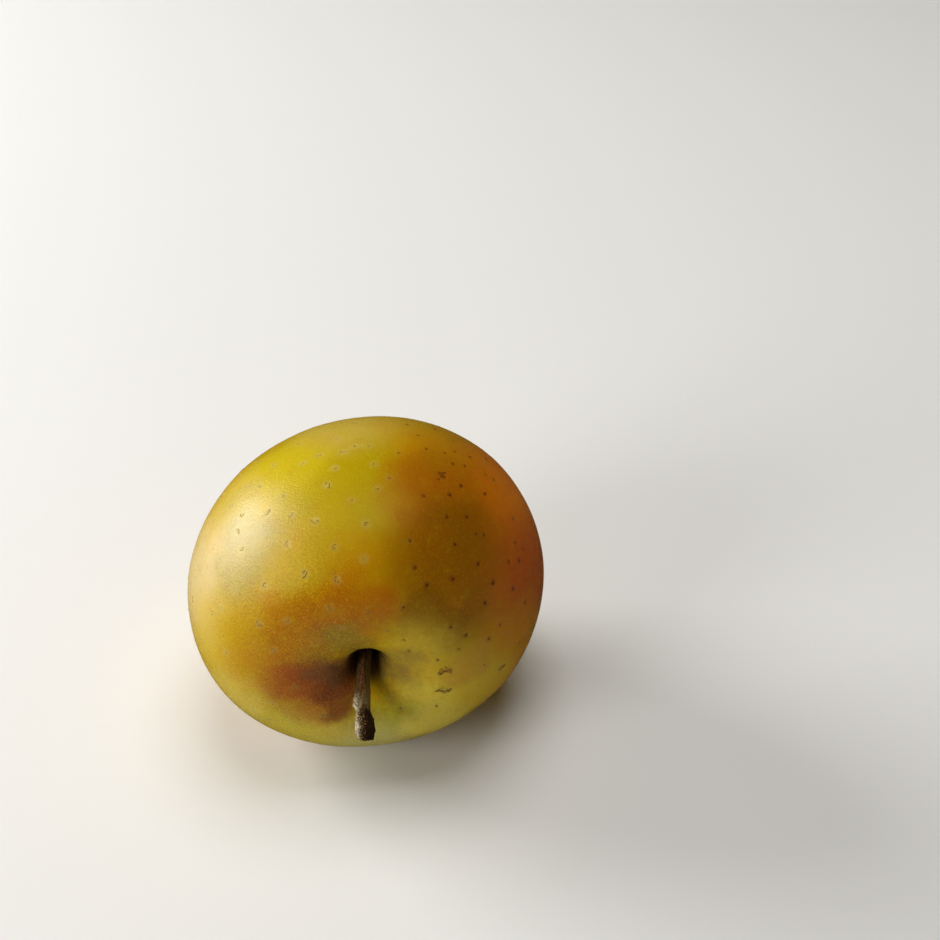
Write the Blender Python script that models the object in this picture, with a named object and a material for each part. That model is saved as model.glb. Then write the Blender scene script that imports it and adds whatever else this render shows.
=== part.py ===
"""An ananas reinette apple, lying on its side with the stem end forward.

The fruit is turned from one profile about its growth axis, pushed a little out of round and cut
level where it rests. The stem stands in the cavity at one end; sepals, stamens and styles stand in
the basin at the other end. Every piece is modelled about the growth axis, and one empty lays them
all down together. Lengths below are in millimetres, angles in degrees. The scene is in metres,
with +Z up and the origin in the middle of the flat spot that the apple rests on.
"""

from math import atan2, copysign, cos, exp, radians, sin, tau

import bmesh
import bpy
import numpy as np
from mathutils import Matrix, Vector

MM = 0.001
MERGE_DISTANCE = 0.001
SHARP_ANGLE = 40.0

# How the fruit lies: its growth axis points forward and a little up and to the left
AXIS_RISE = 4.2
AXIS_TURN = -2.0
FRUIT_CENTRE = Vector((0.6, -1.4, 26.9)) * MM

# Half outline of the fruit as (radius, height along the growth axis), from the cavity floor at the
# stem, over the shoulder and the girth, to the basin floor at the calyx
FRUIT_PROFILE = [
    (0.0, 9.9), (0.9, 10.0), (1.6, 10.9), (1.9, 13.0), (2.1, 15.8), (2.5, 18.4), (3.5, 20.7),
    (6.0, 22.6), (12.2, 24.0), (19.5, 21.7), (26.3, 14.4), (30.0, 1.9), (28.3, -10.5),
    (22.5, -19.9), (14.7, -24.4), (9.1, -23.8), (5.2, -21.1), (3.2, -19.3), (1.6, -18.6), (0.0, -18.5),
]
GIRTH_RADIUS = 30.0
STEPS_PER_KNOT = 3
FACES_AROUND = 64

# Out of round: (swellings around the girth, size as a share of the radius, direction of the first)
GIRTH_LOBES = [(1, 0.016, 24.0), (2, 0.064, 6.0), (3, 0.0104, 83.5), (4, 0.0112, 49.0)]
GIRTH_SHIFT = 1.55
GIRTH_SHIFT_TOWARDS = 181.0

# Five faint crowns on the rim of the basin, fainter still on the shoulder round the cavity
CROWNS = 5
CROWN_AT_CALYX = 0.45
CROWN_AT_STEM = 0.15
CROWN_RADIUS = 12.0
CROWN_SPREAD = 6.0
CROWN_DIRECTION = 20.0

# Stem knots as (x, y, height, radius): a straight foot, a bend, a knot in the wood, a club end
STEM_KNOTS = [
    (0.00, 0.00, 10.5, 0.95), (-0.05, -0.05, 12.0, 1.12), (-0.20, -0.25, 15.0, 1.12),
    (-0.40, -0.75, 18.4, 1.10), (-0.80, -2.00, 22.0, 1.16), (-1.00, -3.10, 25.0, 1.38),
    (-0.85, -3.85, 26.7, 1.15), (-0.68, -4.90, 29.2, 1.60), (-0.60, -5.70, 31.1, 1.75),
    (-0.65, -5.95, 31.7, 1.50),
]
STEM_RESOLUTION = 3

# A sepal's knots as (distance from the axis, height, width, thickness), foot first
SEPALS = 5
SEPAL_DIRECTION = 54.0
SEPAL_KNOTS = [
    (2.90, -19.85, 3.00, 0.60), (2.65, -20.90, 2.80, 0.55), (2.50, -22.20, 2.30, 0.50),
    (3.00, -23.40, 1.90, 0.42), (4.10, -24.00, 1.35, 0.36), (5.20, -23.70, 0.40, 0.28),
]
SEPAL_SIDES = 8
SEPAL_STEPS = 2

# A stamen's knots as (distance from the axis, height, radius): a thread with an anther on its end
STAMENS = 10
STAMEN_DIRECTION = 18.0
STAMEN_KNOTS = [
    (1.35, -19.10, 0.20), (1.30, -20.40, 0.16), (1.35, -21.60, 0.16), (1.45, -22.00, 0.32),
    (1.50, -22.60, 0.34), (1.50, -23.00, 0.16),
]
STAMEN_HEIGHT_CHANGE = 0.35
STAMEN_RESOLUTION = 0

# The styles as (x, y, height, radius), grown together into one column
STYLE_KNOTS = [
    (0.0, 0.0, -18.95, 0.60), (0.0, 0.0, -20.20, 0.42), (0.0, 0.0, -21.60, 0.36),
    (0.0, 0.0, -22.30, 0.55), (0.0, 0.0, -22.60, 0.40),
]
STYLE_RESOLUTION = 1


def smooth_curve(knots, steps):
    """Points of a smooth curve through the knots, with so many steps from each knot to the next."""
    knots = [np.array(knot) for knot in knots]
    spans = [np.linalg.norm(end - start) ** 0.5 for start, end in zip(knots, knots[1:])]
    slopes = [(end - start) / span for start, end, span in zip(knots, knots[1:], spans)]
    tangents = [slopes[0]]
    for before, after, span_before, span_after in zip(slopes, slopes[1:], spans, spans[1:]):
        tangents.append((before * span_after + after * span_before) / (span_before + span_after))
    tangents.append(slopes[-1])

    points = []
    for i, span in enumerate(spans):
        for step in range(steps):
            s = step / steps
            start_share = 2 * s**3 - 3 * s**2 + 1
            start_pull = (s**3 - 2 * s**2 + s) * span
            end_pull = (s**3 - s**2) * span
            points.append(
                knots[i] * start_share + tangents[i] * start_pull
                + knots[i + 1] * (1 - start_share) + tangents[i + 1] * end_pull
            )
    points.append(knots[-1])
    return points


def uneven(point):
    """Moves a point of the turned fruit to where the uneven fruit has it."""
    radius = point.xy.length
    angle = atan2(point.y, point.x)
    share = (radius / GIRTH_RADIUS) ** 2
    swelling = sum(size * cos(count * (angle - radians(at))) for count, size, at in GIRTH_LOBES)
    shift = GIRTH_SHIFT * share * cos(angle - radians(GIRTH_SHIFT_TOWARDS))
    crown = CROWN_AT_CALYX if point.z < 0 else CROWN_AT_STEM
    crown *= exp(-(((radius - CROWN_RADIUS) / CROWN_SPREAD) ** 2))
    crown *= cos(CROWNS * (angle - radians(CROWN_DIRECTION)))
    stretch = 1 + share * swelling
    height = point.z + shift + copysign(crown, point.z)
    return Vector((point.x * stretch, point.y * stretch, height))


def make_material(name, colour, roughness):
    material = bpy.data.materials.new(name)
    material.use_nodes = True
    shader = material.node_tree.nodes["Principled BSDF"]
    shader.inputs["Base Color"].default_value = (*colour, 1.0)
    shader.inputs["Roughness"].default_value = roughness
    shader.inputs["Metallic"].default_value = 0.0
    material.diffuse_color = (*colour, 1.0)
    return material


def place(name, data, material, growth_axis):
    piece = bpy.data.objects.new(name, data)
    piece.parent = growth_axis
    data.materials.append(material)
    bpy.context.collection.objects.link(piece)
    return piece


def mesh_from(shape, name):
    """Turns a bmesh in millimetres into a smooth shaded mesh in metres with outward faces."""
    bmesh.ops.recalc_face_normals(shape, faces=shape.faces)
    bmesh.ops.transform(shape, matrix=Matrix.Scale(MM, 4), verts=shape.verts)
    mesh = bpy.data.meshes.new(name)
    shape.to_mesh(mesh)
    shape.free()
    mesh.shade_smooth()
    mesh.set_sharp_from_angle(angle=radians(SHARP_ANGLE))
    return mesh


def make_growth_axis():
    """The empty that lays the apple down: its Z runs from the calyx to the stem."""
    growth_axis = bpy.data.objects.new("growth_axis", None)
    turn = Matrix.Rotation(radians(AXIS_TURN), 4, "Z")
    lay_down = Matrix.Rotation(radians(90 - AXIS_RISE), 4, "X")
    growth_axis.matrix_world = Matrix.Translation(FRUIT_CENTRE) @ turn @ lay_down
    bpy.context.collection.objects.link(growth_axis)
    return growth_axis


def make_fruit(growth_axis):
    shape = bmesh.new()
    profile = [shape.verts.new((r, 0, h)) for r, h in smooth_curve(FRUIT_PROFILE, STEPS_PER_KNOT)]
    edges = [shape.edges.new(pair) for pair in zip(profile, profile[1:])]
    bmesh.ops.spin(
        shape, geom=profile + edges, cent=(0, 0, 0), axis=(0, 0, 1), angle=tau, steps=FACES_AROUND,
    )
    bmesh.ops.remove_doubles(shape, verts=shape.verts, dist=MERGE_DISTANCE)
    for vert in shape.verts:
        vert.co = uneven(vert.co)

    # The floor's level in the fruit's own axes: what is below it goes, and one flat face closes the cut
    to_own_axes = growth_axis.matrix_world.inverted()
    floor_point = to_own_axes.translation / MM
    floor_normal = to_own_axes.to_3x3() @ Vector((0, 0, 1))
    cut = bmesh.ops.bisect_plane(
        shape, geom=list(shape.verts) + list(shape.edges) + list(shape.faces),
        plane_co=floor_point, plane_no=floor_normal, clear_inner=True,
    )
    rim = [item for item in cut["geom_cut"] if isinstance(item, bmesh.types.BMEdge)]
    bmesh.ops.contextual_create(shape, geom=rim)
    skin = make_material("fruit_skin", (0.72, 0.45, 0.05), 0.4)
    return place("fruit", mesh_from(shape, "fruit"), skin, growth_axis)


def make_rod(name, knots, resolution, material, growth_axis):
    """A round rod of changing thickness through knots of (x, y, height, radius)."""
    curve = bpy.data.curves.new(name, "CURVE")
    curve.dimensions = "3D"
    curve.bevel_depth = MM
    curve.bevel_resolution = resolution
    curve.use_fill_caps = True
    points = smooth_curve(knots, STEPS_PER_KNOT)
    spline = curve.splines.new("POLY")
    spline.points.add(len(points) - 1)
    for spline_point, (x, y, height, radius) in zip(spline.points, points):
        spline_point.co = (x * MM, y * MM, height * MM, 1.0)
        spline_point.radius = radius
    return place(name, curve, material, growth_axis)


def make_sepal(name, angle, material, growth_axis):
    """One dried calyx leaf: a flat blade that stands up from the basin floor and bends outward."""
    outward = Vector((cos(angle), sin(angle), 0))
    sideways = Vector((-sin(angle), cos(angle), 0))
    shape = bmesh.new()
    stations = smooth_curve(SEPAL_KNOTS, SEPAL_STEPS)
    rims = []
    for i, (distance, height, width, thickness) in enumerate(stations):
        before = stations[max(i - 1, 0)]
        after = stations[min(i + 1, len(stations) - 1)]
        along = outward * (after[0] - before[0]) + Vector((0, 0, after[1] - before[1]))
        through = along.normalized().cross(sideways)
        middle = outward * distance + Vector((0, 0, height))
        ring = []
        for side in range(SEPAL_SIDES):
            turn = tau * side / SEPAL_SIDES
            offset = sideways * (cos(turn) * width / 2) + through * (sin(turn) * thickness / 2)
            ring.append(shape.verts.new(middle + offset))
        rims.append([shape.edges.new((ring[side - 1], ring[side])) for side in range(SEPAL_SIDES)])
    for lower, upper in zip(rims, rims[1:]):
        bmesh.ops.bridge_loops(shape, edges=lower + upper)
    for rim in (rims[0], rims[-1]):
        bmesh.ops.contextual_create(shape, geom=rim)
    return place(name, mesh_from(shape, name), material, growth_axis)


def make_stamen(name, angle, height_change, material, growth_axis):
    knots = []
    for i, (distance, height, radius) in enumerate(STAMEN_KNOTS):
        raised = height - height_change * i / (len(STAMEN_KNOTS) - 1)
        knots.append((distance * cos(angle), distance * sin(angle), raised, radius))
    return make_rod(name, knots, STAMEN_RESOLUTION, material, growth_axis)


def main():
    for old in list(bpy.data.objects):
        bpy.data.objects.remove(old, do_unlink=True)
    growth_axis = make_growth_axis()
    make_fruit(growth_axis)

    bark = make_material("stem_bark", (0.16, 0.10, 0.05), 0.8)
    make_rod("stem", STEM_KNOTS, STEM_RESOLUTION, bark, growth_axis)

    dried_leaf = make_material("dried_sepal", (0.27, 0.20, 0.12), 0.85)
    for i in range(SEPALS):
        angle = radians(SEPAL_DIRECTION) + tau * i / SEPALS
        make_sepal(f"sepal_{i + 1}", angle, dried_leaf, growth_axis)

    dried_thread = make_material("dried_stamen", (0.12, 0.08, 0.05), 0.9)
    for i in range(STAMENS):
        angle = radians(STAMEN_DIRECTION) + tau * i / STAMENS
        height_change = STAMEN_HEIGHT_CHANGE * (-1) ** i
        make_stamen(f"stamen_{i + 1}", angle, height_change, dried_thread, growth_axis)
    make_rod("style_column", STYLE_KNOTS, STYLE_RESOLUTION, dried_thread, growth_axis)


main()
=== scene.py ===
"""The looks of an ananas reinette apple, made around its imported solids.

The skin with its corky dots, the barked stem and the dried calyx each have a fine mesh and a
procedural material of their own. Lengths below are in millimetres and angles in degrees unless a
name says otherwise. The scene is in metres, with +Z up.
"""

from math import asin, atan2, cos, hypot, pi, radians, sin, tau

import bmesh
import bpy
import numpy as np
from mathutils import Matrix, Vector, noise
from mathutils.bvhtree import BVHTree
from mathutils.kdtree import KDTree


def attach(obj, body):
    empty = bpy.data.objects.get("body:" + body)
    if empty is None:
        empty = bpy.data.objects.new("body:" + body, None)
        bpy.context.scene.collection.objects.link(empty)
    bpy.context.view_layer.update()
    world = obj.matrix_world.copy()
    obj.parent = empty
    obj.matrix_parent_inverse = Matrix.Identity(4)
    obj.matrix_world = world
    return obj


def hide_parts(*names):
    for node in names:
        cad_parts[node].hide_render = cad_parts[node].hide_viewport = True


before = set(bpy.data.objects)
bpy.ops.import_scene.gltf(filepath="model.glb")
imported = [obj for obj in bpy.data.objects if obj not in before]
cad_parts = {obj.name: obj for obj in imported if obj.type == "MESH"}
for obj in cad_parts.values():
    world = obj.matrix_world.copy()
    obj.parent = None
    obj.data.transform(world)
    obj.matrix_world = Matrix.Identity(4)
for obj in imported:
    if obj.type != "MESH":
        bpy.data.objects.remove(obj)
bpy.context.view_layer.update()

MM = 0.001

# Where the camera stands, and the pixel of the photograph that the fruit's centre falls on
PHOTO_SIZE = 940
FRUIT_PIXEL = (366, 582)
FOCAL_PIXELS = 1411
SENSOR_WIDTH = 36.0
CAMERA_DISTANCE = 253.5
CAMERA_RISE = 45.0
NEAREST_SEEN = 10.0

# How the fruit lies, and its shape about its growth axis: as in the solids
AXIS_RISE = 4.2
AXIS_TURN = -2.0
GROWTH_ROTATION = (radians(90 - AXIS_RISE), 0, radians(AXIS_TURN))
FRUIT_CENTRE = Vector((0.6, -1.4, 26.9)) * MM
FRUIT_PROFILE = [
    (0.0, 9.9), (0.9, 10.0), (1.6, 10.9), (1.9, 13.0), (2.1, 15.8), (2.5, 18.4), (3.5, 20.7),
    (6.0, 22.6), (12.2, 24.0), (19.5, 21.7), (26.3, 14.4), (30.0, 1.9), (28.3, -10.5),
    (22.5, -19.9), (14.7, -24.4), (9.1, -23.8), (5.2, -21.1), (3.2, -19.3), (1.6, -18.6), (0.0, -18.5),
]
PROFILE_STEPS = 14
POLE_MERGE = 0.002
FACES_AROUND = 392
FACES_ALONG = 240
FRUIT_SHAPE = {
    "Girth radius": 30.0,
    "Lobe 1": 0.016, "Lobe 1 towards": 24.0,
    "Lobe 2": 0.064, "Lobe 2 towards": 6.0,
    "Lobe 3": 0.0104, "Lobe 3 towards": 83.5,
    "Lobe 4": 0.0112, "Lobe 4 towards": 49.0,
    "Shift": 1.55, "Shift towards": 181.0,
    "Crown at stem": 0.15, "Crown at calyx": 0.45, "Crown radius": 12.0, "Crown spread": 6.0,
    "Crown towards": 20.0,
    "Unevenness": 0.10, "Pebbling": 0.012,
}
LOBES = 4
CROWNS = 5
SWELL_SCALE = 0.09
PEBBLE_SCALE = 0.9

# Corky dots that show in the photograph: their pixels there and their radii in millimetres. Small
# ones close together make up a short dash of russet.
DOTS_SEEN = [
    (319, 455, 0.30), (343, 452, 0.34), (335, 468, 0.22), (327, 485, 0.42), (303, 463, 0.20),
    (284, 496, 0.24), (268, 512, 0.40), (242, 515, 0.30), (238, 531, 0.34), (291, 515, 0.34),
    (315, 521, 0.44), (287, 544, 0.34), (242, 549, 0.32), (366, 524, 0.24), (378, 489, 0.22),
    (304, 574, 0.36), (337, 580, 0.34), (259, 624, 0.34), (287, 621, 0.22), (330, 608, 0.26),
    (212, 613, 0.26), (221, 608, 0.24), (374, 464, 0.20), (390, 478, 0.18), (399, 453, 0.22),
    (440, 473, 0.26), (442, 475, 0.24), (444, 477, 0.26), (445, 473, 0.18), (439, 479, 0.18),
    (427, 449, 0.24), (445, 453, 0.22), (455, 452, 0.22), (470, 457, 0.26), (453, 464, 0.24),
    (465, 466, 0.24), (461, 486, 0.32), (450, 495, 0.34), (485, 494, 0.28), (424, 496, 0.24),
    (494, 480, 0.24), (447, 517, 0.26), (467, 517, 0.30), (410, 541, 0.26), (484, 535, 0.26),
    (415, 568, 0.34), (478, 564, 0.34), (519, 561, 0.34), (427, 585, 0.38), (453, 579, 0.36),
    (493, 583, 0.42), (485, 603, 0.38), (513, 589, 0.30), (515, 543, 0.28), (509, 562, 0.24),
    (525, 603, 0.26), (451, 627, 0.28), (466, 635, 0.34), (489, 639, 0.32), (439, 673, 0.22),
    (441, 674, 0.26), (443, 672, 0.22), (445, 671, 0.26), (447, 671, 0.20), (449, 670, 0.26),
    (451, 669, 0.20), (451, 672, 0.22), (446, 667, 0.16), (441, 669, 0.14), (437, 691, 0.20),
    (439, 690, 0.24), (441, 691, 0.20), (443, 691, 0.28), (445, 692, 0.20), (447, 690, 0.20),
    (449, 691, 0.26), (451, 689, 0.18), (443, 687, 0.14), (438, 660, 0.24), (500, 669, 0.30),
    (502, 667, 0.24), (504, 666, 0.28), (404, 640, 0.24), (388, 631, 0.22), (437, 706, 0.24),
    (342, 628, 0.20), (401, 708, 0.22), (309, 738, 0.18), (253, 710, 0.20), (269, 719, 0.22),
    (226, 652, 0.22), (260, 486, 0.26), (246, 486, 0.22), (274, 465, 0.20), (337, 439, 0.22),
    (355, 446, 0.20), (369, 446, 0.20), (418, 435, 0.20), (486, 475, 0.20), (513, 519, 0.22),
    (476, 534, 0.20), (523, 549, 0.20), (500, 625, 0.22), (409, 651, 0.20), (459, 649, 0.22),
]

# The rest of the dots are strewn over the whole skin, wherever no other dot is near. The gap that they
# keep narrows from the stem to the calyx. Each is shrunk, and shows more or less boldly, at random.
DOT_SEED = 11
DOT_TRIES = 2600
DOT_GAP_NEAR_STEM = 5.4
DOT_GAP_NEAR_CALYX = 3.0
DOT_RADII = (0.16, 0.40)
DOT_SHRINKING = (0.6, 1.0)
DOT_BOLDNESS = (0.35, 1.0)
DOT_POLAR_RANGE = (24.0, 152.0)
DOT_CLEARANCE = 0.3 * MM
SUNNY_FROM = 1.5 * MM

# Stem knots as (x, y, height, radius) about the growth axis, foot first
STEM_KNOTS = [
    (0.00, 0.00, 9.5, 0.95), (-0.05, -0.05, 12.0, 1.12), (-0.20, -0.25, 15.0, 1.12),
    (-0.40, -0.75, 18.4, 1.10), (-0.80, -2.00, 22.0, 1.16), (-1.00, -3.10, 25.0, 1.38),
    (-0.92, -4.10, 27.4, 1.10), (-0.74, -4.95, 29.3, 1.50), (-0.66, -5.60, 30.7, 1.60),
    (-0.72, -5.82, 31.3, 1.36),
]
STEM_STEPS = 26
STEM_SIDES = 96

# The stem's broken end: each ring's share of the last knot's radius, and how far it stands out
STEM_END_RINGS = ((0.88, 0.16), (0.66, 0.33), (0.42, 0.43), (0.18, 0.46))

# The stem's surface: grain and ridges as shares of its radius, the rest in millimetres
GRAIN_SHARE = 0.08
RIDGE_SHARE = 0.07
PLATE_RISE = 0.09
CRACK_RISE = 0.06
WEATHERED_FROM = 21.0
WEATHERED_OVER = 5.0

# The flap of loose bark on the stem: the way it points, its height, half its length and its rise
FLAP_TURN = 190.0
FLAP_HEIGHT = 26.4
FLAP_LENGTH = 1.1
FLAP_RISE = 0.24

# The torn rim of the stem's end, which takes up this share of its length, and the spur that stands out
# of that rim
RAGGED_SHARE = 0.06
TEAR_LIFT = 0.22
CRACK_LIFT = 0.12
SPUR_TURN = -40.0
SPUR_RISE = 0.20
SPUR_LIFT = 0.15

# A sepal's knots as (distance from the axis, height, width, thickness), foot first
SEPALS = 5
SEPAL_DIRECTION = 54.0
SEPAL_KNOTS = [
    (3.00, -19.10, 3.10, 0.60), (2.65, -20.90, 2.80, 0.55), (2.50, -22.20, 2.30, 0.46),
    (3.00, -23.40, 1.90, 0.36), (4.10, -24.00, 1.35, 0.28), (5.20, -23.70, 0.40, 0.20),
]
SEPAL_STEPS = 10
SEPAL_SIDES = 32
SEPAL_WAVE = 0.10
SEPAL_CUP = 0.30
SEPAL_RIB = 0.12

# A stamen's knots as (distance from the axis, height, radius): a thread with an anther on its end
STAMENS = 10
STAMEN_DIRECTION = 18.0
STAMEN_KNOTS = [
    (1.35, -18.40, 0.20), (1.30, -20.40, 0.15), (1.35, -21.60, 0.14), (1.45, -22.00, 0.30),
    (1.50, -22.60, 0.32), (1.50, -22.95, 0.12),
]
STAMEN_HEIGHT_CHANGE = 0.35
ANTHER_LOBES = 2
ANTHER_LOBE_DEPTH = 0.18

# The styles, grown together into one ribbed column, and how finely such rods are made
STYLES = 5
STYLE_LOBE_DEPTH = 0.15
STYLE_KNOTS = [
    (0.0, 0.0, -18.30, 0.60), (0.0, 0.0, -20.20, 0.42), (0.0, 0.0, -21.60, 0.36),
    (0.0, 0.0, -22.30, 0.55), (0.0, 0.0, -22.58, 0.40),
]
ROD_STEPS = 10
ROD_SIDES = 18
ROD_UNEVENNESS = 0.15


def srgb(red, green, blue):
    """A colour as a screen gives it, 0 to 255, turned to the linear values that a shader takes."""
    shares = [channel / 255 for channel in (red, green, blue)]
    linear = [s / 12.92 if s <= 0.04045 else ((s + 0.055) / 1.055) ** 2.4 for s in shares]
    return (*linear, 1.0)


def growth_matrix():
    """From the fruit's own axes, in metres, to where it lies: its Z runs from the calyx to the stem."""
    turn = Matrix.Rotation(radians(AXIS_TURN), 4, "Z")
    lay_down = Matrix.Rotation(radians(90 - AXIS_RISE), 4, "X")
    return Matrix.Translation(FRUIT_CENTRE) @ turn @ lay_down


def make_camera():
    """Looks down at the fruit so that its centre falls on its pixel of the photograph."""
    rise = radians(CAMERA_RISE)
    sight = Vector((0, cos(rise), -sin(rise)))
    across = (FRUIT_PIXEL[0] - PHOTO_SIZE / 2) / FOCAL_PIXELS
    above = (PHOTO_SIZE / 2 - FRUIT_PIXEL[1]) / FOCAL_PIXELS
    seen = Vector((across, above, -1)).normalized()
    tilt = asin(sight.z / hypot(seen.y, seen.z)) - atan2(seen.z, seen.y)
    tilted = Matrix.Rotation(tilt, 3, "X") @ seen
    turn = atan2(sight.y, sight.x) - atan2(tilted.y, tilted.x)

    data = bpy.data.cameras.new("camera")
    data.sensor_width = SENSOR_WIDTH
    data.lens = FOCAL_PIXELS / PHOTO_SIZE * SENSOR_WIDTH
    data.clip_start = NEAREST_SEEN * MM
    camera = bpy.data.objects.new("camera", data)
    camera.location = FRUIT_CENTRE - sight * CAMERA_DISTANCE * MM
    camera.rotation_euler = (tilt, 0, turn)
    bpy.context.collection.objects.link(camera)
    bpy.context.scene.camera = camera
    bpy.context.view_layer.update()
    return camera


def sight_line(camera, x, y):
    """The unit direction from the camera through a pixel of the photograph."""
    across = (x - PHOTO_SIZE / 2) / FOCAL_PIXELS
    above = (PHOTO_SIZE / 2 - y) / FOCAL_PIXELS
    return (camera.matrix_world.to_3x3() @ Vector((across, above, -1))).normalized()


class Value:
    """A node's output that takes part in Python expressions: each operation adds its Math node."""

    def __init__(self, tree, socket):
        self.tree = tree
        self.socket = socket

    def maths(self, operation, *others):
        terms = dict(enumerate((self, *others)))
        return self.tree.add("ShaderNodeMath", {"operation": operation}, terms)

    def other(self, output):
        """Another output of the node that this value comes from."""
        return Value(self.tree, self.socket.node.outputs[output])

    def __add__(self, other):
        return self.maths("ADD", other)

    def __sub__(self, other):
        return self.maths("SUBTRACT", other)

    def __rsub__(self, other):
        return self.tree.add("ShaderNodeMath", {"operation": "SUBTRACT"}, {0: other, 1: self})

    def __mul__(self, other):
        return self.maths("MULTIPLY", other)

    def __truediv__(self, other):
        return self.maths("DIVIDE", other)

    def __pow__(self, other):
        return self.maths("POWER", other)

    __radd__ = __add__
    __rmul__ = __mul__

    def cosine(self):
        return self.maths("COSINE")

    def sine(self):
        return self.maths("SINE")

    def at_least(self, other):
        return self.maths("MAXIMUM", other)

    def at_most(self, other):
        return self.maths("MINIMUM", other)

    def ramp(self, low, high):
        """0 at low and 1 at high, level beyond them and smooth between; low may be the larger."""
        swapped = low > high
        limits = {"Value": self, "From Min": min(low, high), "From Max": max(low, high)}
        rise = self.tree.add("ShaderNodeMapRange", {"interpolation_type": "SMOOTHSTEP"}, limits)
        return 1 - rise if swapped else rise


class Tree:
    """A node tree whose nodes are all added by one method."""

    def __init__(self, tree):
        self.tree = tree

    def add(self, kind, settings=None, inputs=None, output=0):
        """Adds a node, sets it, then feeds its sockets, by name or place, with values or links."""
        node = self.tree.nodes.new(kind)
        for name, setting in (settings or {}).items():
            setattr(node, name, setting)
        for name, value in (inputs or {}).items():
            if isinstance(value, Value):
                self.tree.links.new(value.socket, node.inputs[name])
            else:
                node.inputs[name].default_value = value
        return Value(self, node.outputs[output]) if len(node.outputs) else None

    def vector(self, operation, *vectors):
        return self.add("ShaderNodeVectorMath", {"operation": operation}, dict(enumerate(vectors)))

    def scaled(self, vector, factor):
        settings = {"operation": "SCALE"}
        return self.add("ShaderNodeVectorMath", settings, {"Vector": vector, "Scale": factor})

    def dot(self, a, b):
        settings = {"operation": "DOT_PRODUCT"}
        return self.add("ShaderNodeVectorMath", settings, {0: a, 1: b}, "Value")

    def combined(self, x=0.0, y=0.0, z=0.0):
        return self.add("ShaderNodeCombineXYZ", None, {"X": x, "Y": y, "Z": z})

    def separated(self, vector):
        x = self.add("ShaderNodeSeparateXYZ", None, {"Vector": vector}, "X")
        return x, x.other("Y"), x.other("Z")

    def noise(self, vector, scale, detail=2.0, roughness=0.5, distortion=0.0):
        inputs = {"Vector": vector, "Scale": scale, "Detail": detail, "Roughness": roughness}
        inputs["Distortion"] = distortion
        return self.add("ShaderNodeTexNoise", None, inputs)

    def mix(self, share, a, b):
        """Colour a where share is 0 and colour b where it is 1."""
        return self.add("ShaderNodeMix", {"data_type": "RGBA"}, {"Factor": share, 6: a, 7: b}, 2)


def new_material(name):
    material = bpy.data.materials.new(name)
    material.use_nodes = True
    return material


def shading(material):
    """A material's node tree and its Principled shader."""
    return Tree(material.node_tree), material.node_tree.nodes["Principled BSDF"]


def feed(tree, shader, **links):
    """Links values to the shader's sockets, with a socket's spaces written as underscores."""
    for name, value in links.items():
        tree.tree.links.new(value.socket, shader.inputs[name.replace("_", " ")])


def relief_from(tree, height, strength, depth):
    """A normal that follows the height, whose rise from 0 to 1 stands for so many millimetres."""
    inputs = {"Strength": strength, "Distance": depth * MM, "Height": height}
    return tree.add("ShaderNodeBump", None, inputs)


def growth_place(tree):
    """A surface point's place in the fruit's own axes, in millimetres."""
    object_place = tree.add("ShaderNodeTexCoord", None, None, "Object")
    inputs = {"Vector": object_place, "Location": FRUIT_CENTRE}
    inputs.update({"Rotation": GROWTH_ROTATION, "Scale": (MM,) * 3})
    return tree.add("ShaderNodeMapping", {"vector_type": "TEXTURE"}, inputs)


def smooth_curve(knots, steps):
    """Points of a smooth curve through the knots, with so many steps from each knot to the next."""
    knots = [np.array(knot) for knot in knots]
    spans = [np.linalg.norm(end - start) ** 0.5 for start, end in zip(knots, knots[1:])]
    slopes = [(end - start) / span for start, end, span in zip(knots, knots[1:], spans)]
    tangents = [slopes[0]]
    for before, after, span_before, span_after in zip(slopes, slopes[1:], spans, spans[1:]):
        tangents.append((before * span_after + after * span_before) / (span_before + span_after))
    tangents.append(slopes[-1])

    points = []
    for i, span in enumerate(spans):
        for step in range(steps):
            s = step / steps
            start_share = 2 * s**3 - 3 * s**2 + 1
            start_pull = (s**3 - 2 * s**2 + s) * span
            end_pull = (s**3 - s**2) * span
            points.append(
                knots[i] * start_share + tangents[i] * start_pull
                + knots[i + 1] * (1 - start_share) + tangents[i + 1] * end_pull
            )
    points.append(knots[-1])
    return points


def new_geometry_tree(name, inputs, material):
    """A geometry tree with named number inputs, as its tree, its input node's values and a closer."""
    group = bpy.data.node_groups.new(name, "GeometryNodeTree")
    group.interface.new_socket("Geometry", in_out="INPUT", socket_type="NodeSocketGeometry")
    for input_name in inputs:
        group.interface.new_socket(input_name, in_out="INPUT", socket_type="NodeSocketFloat")
    group.interface.new_socket("Geometry", in_out="OUTPUT", socket_type="NodeSocketGeometry")
    tree = Tree(group)
    source = tree.add("NodeGroupInput")

    def close(geometry):
        realized = tree.add("GeometryNodeRealizeInstances", None, {"Geometry": geometry})
        coated = tree.add("GeometryNodeSetMaterial", None, {"Geometry": realized, "Material": material})
        tree.add("NodeGroupOutput", None, {"Geometry": coated})

    return tree, source, close


def run_geometry_tree(source, tree, inputs, name):
    """Runs the tree on the source object and returns a new object that holds the result as a mesh."""
    modifier = source.modifiers.new(name, "NODES")
    modifier.node_group = tree.tree
    for item in tree.tree.interface.items_tree:
        if item.in_out == "INPUT" and item.name in inputs:
            modifier[item.identifier] = inputs[item.name]
    bpy.context.view_layer.update()
    evaluated = source.evaluated_get(bpy.context.evaluated_depsgraph_get())
    mesh = bpy.data.meshes.new_from_object(evaluated)
    source.modifiers.remove(modifier)
    mesh.name = name
    return link(name, mesh)


def link(name, data):
    piece = bpy.data.objects.new(name, data)
    bpy.context.collection.objects.link(piece)
    return piece


def discard(piece):
    bpy.data.objects.remove(piece, do_unlink=True)


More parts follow.
